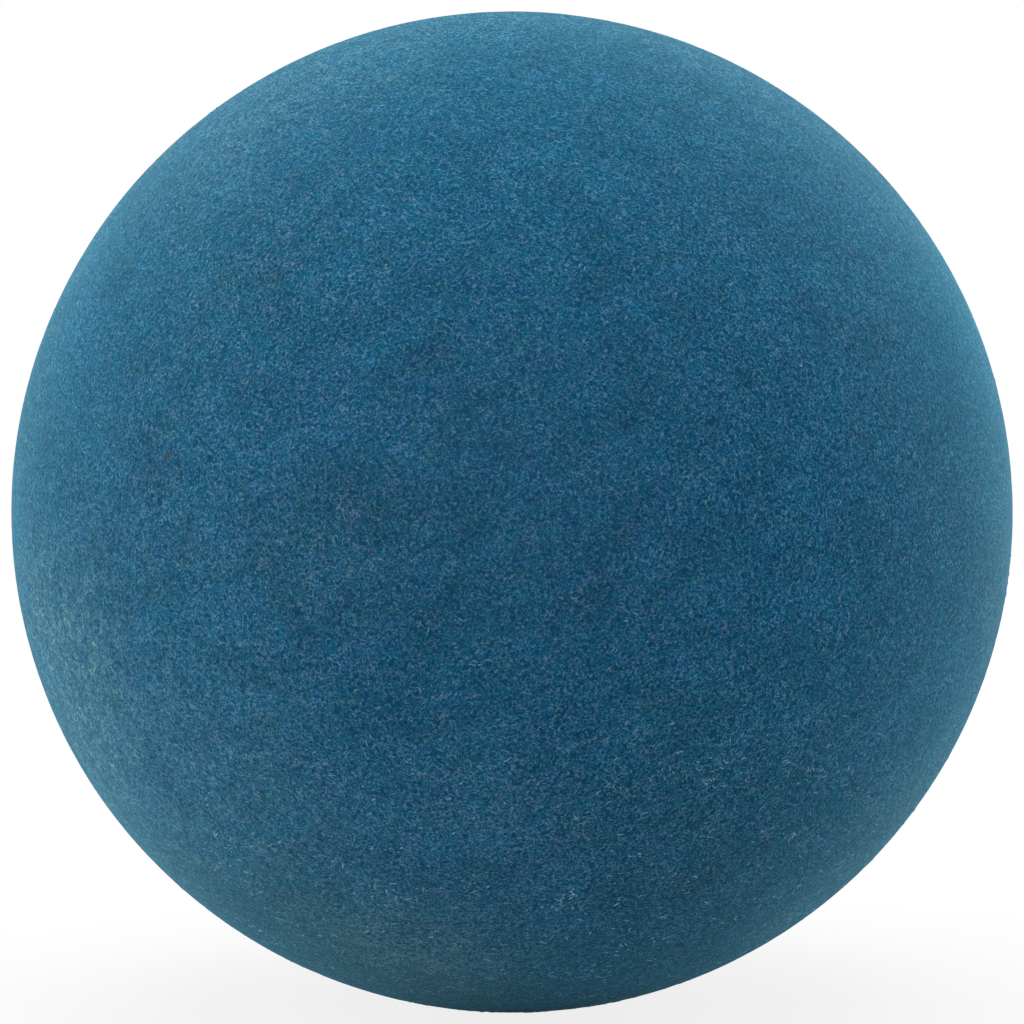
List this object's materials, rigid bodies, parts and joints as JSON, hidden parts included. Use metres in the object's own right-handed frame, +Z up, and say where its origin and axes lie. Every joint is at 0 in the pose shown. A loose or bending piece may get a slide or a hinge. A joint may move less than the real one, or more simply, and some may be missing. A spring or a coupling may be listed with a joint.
{
  "type": "beach paddle ball",
  "caption": "Hollow blue rubber ball with a buffed, suede-like surface, made of moulded half-shells cemented rim to rim, for hitting with wooden paddles on a beach.",
  "frame": {"origin": "centre of the ball", "axes": "+Z up, +Y from the pole of the front half-shell through the centre to the pole of the rear half-shell; the cemented seam lies in the XZ plane"},
  "size_m": [0.057, 0.057, 0.057],
  "materials": {
    "buffed_rubber": "matte",
    "cured_cement": "matte"
  },
  "bodies": {
    "root": {"front_half_shell": "buffed_rubber", "rear_half_shell": "buffed_rubber", "seam_cement": "cured_cement"}
  },
  "joints": []
}
